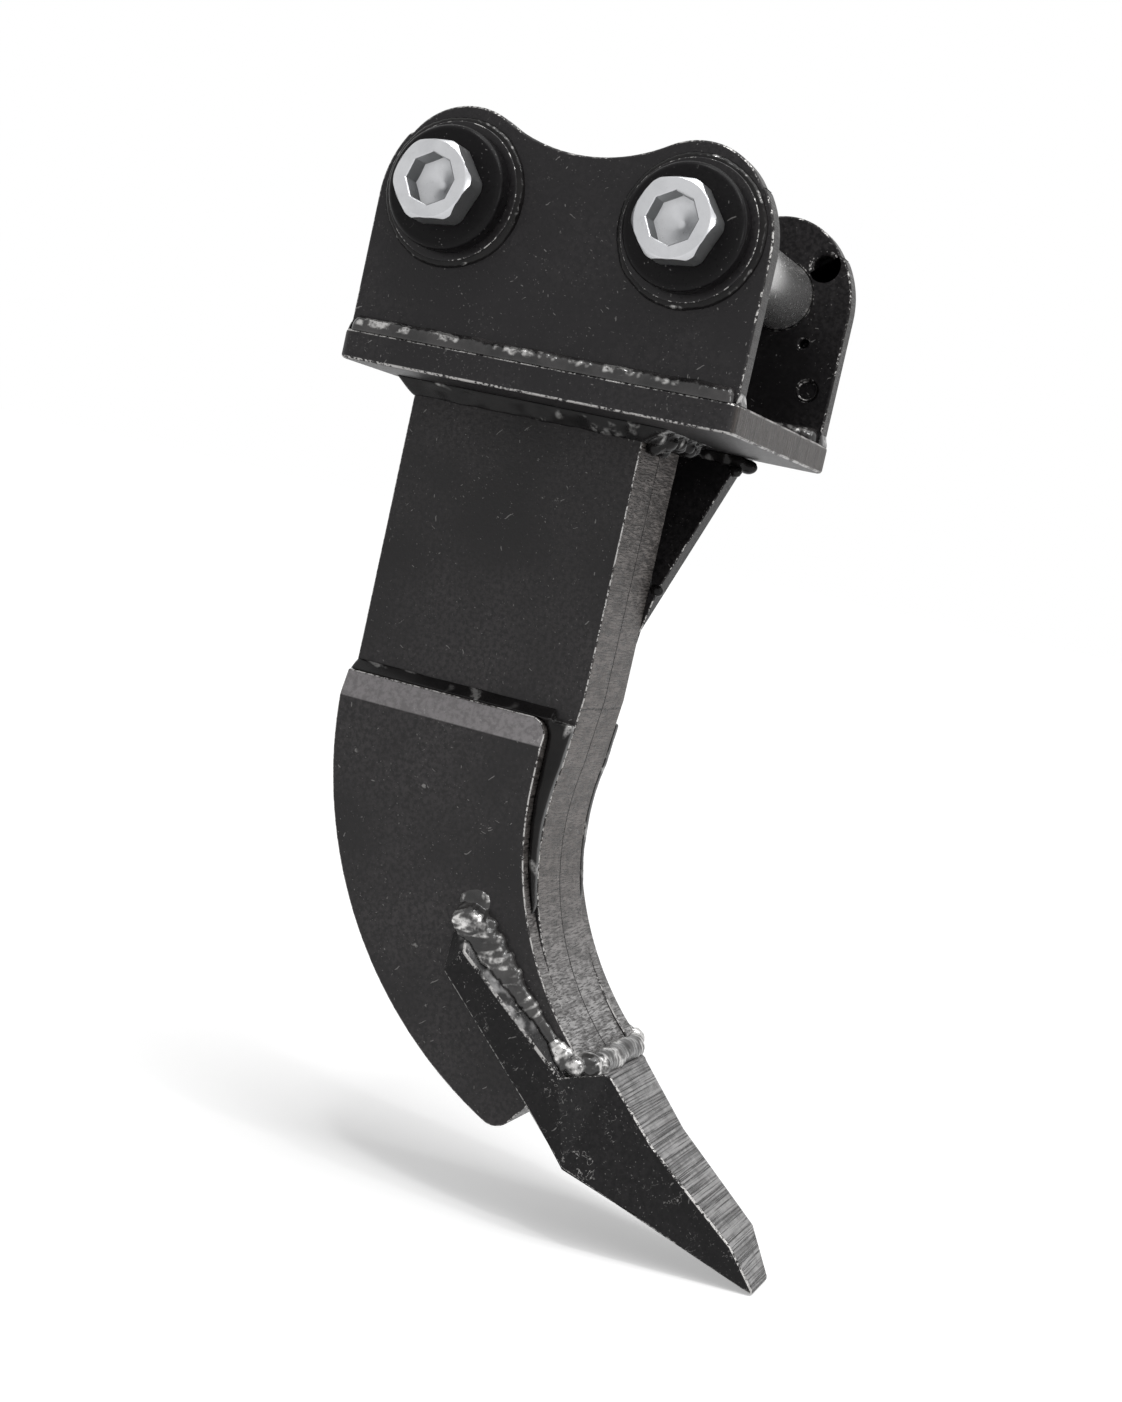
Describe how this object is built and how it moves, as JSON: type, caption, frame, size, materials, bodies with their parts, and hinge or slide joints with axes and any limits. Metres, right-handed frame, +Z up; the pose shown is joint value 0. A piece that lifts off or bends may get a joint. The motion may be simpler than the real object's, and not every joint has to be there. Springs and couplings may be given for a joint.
{
  "type": "ripper shank tooth",
  "caption": "Pin-on ripper for a small excavator: a curved, cheek-plated shank with a welded wedge tooth, hung from a base plate whose ears carry cross pins.",
  "frame": {"origin": "on the axis of the front pin, midway between the two ears", "axes": "+X from the heel of the shank to the tooth tip, +Y along the pins towards the braced side, +Z up"},
  "size_m": [0.2392, 0.188, 0.4387],
  "materials": {
    "mount": "worn satin charcoal paint",
    "shank": "worn satin charcoal paint with bare cut edges",
    "boss": "satin black paint",
    "cap": "smooth semi-gloss black paint",
    "zinc": "bright zinc plate",
    "pin": "ground and polished steel",
    "tooth": "scratched satin black paint on hardened steel",
    "weld": "glossy painted weld bead"
  },
  "bodies": {
    "root": {"base_plate": "mount", "near_ear": "mount", "far_ear": "mount", "near_front_boss": "boss", "near_back_boss": "boss", "far_front_boss": "boss", "far_back_boss": "boss", "near_front_cap": "cap", "near_back_cap": "cap", "far_front_cap": "cap", "far_back_cap": "cap", "near_front_bolt": "zinc", "near_back_bolt": "zinc", "far_front_bolt": "zinc", "far_back_bolt": "zinc", "front_pin": "pin", "back_pin": "pin", "near_shank_plate": "shank", "far_shank_plate": "shank", "near_cheek": "shank", "far_cheek": "shank", "rear_brace": "mount", "tooth_point": "tooth", "ear_welds": "weld", "boss_welds": "weld", "shank_weld": "weld", "cheek_welds": "weld", "brace_welds": "weld", "tooth_welds": "weld"}
  },
  "joints": []
}
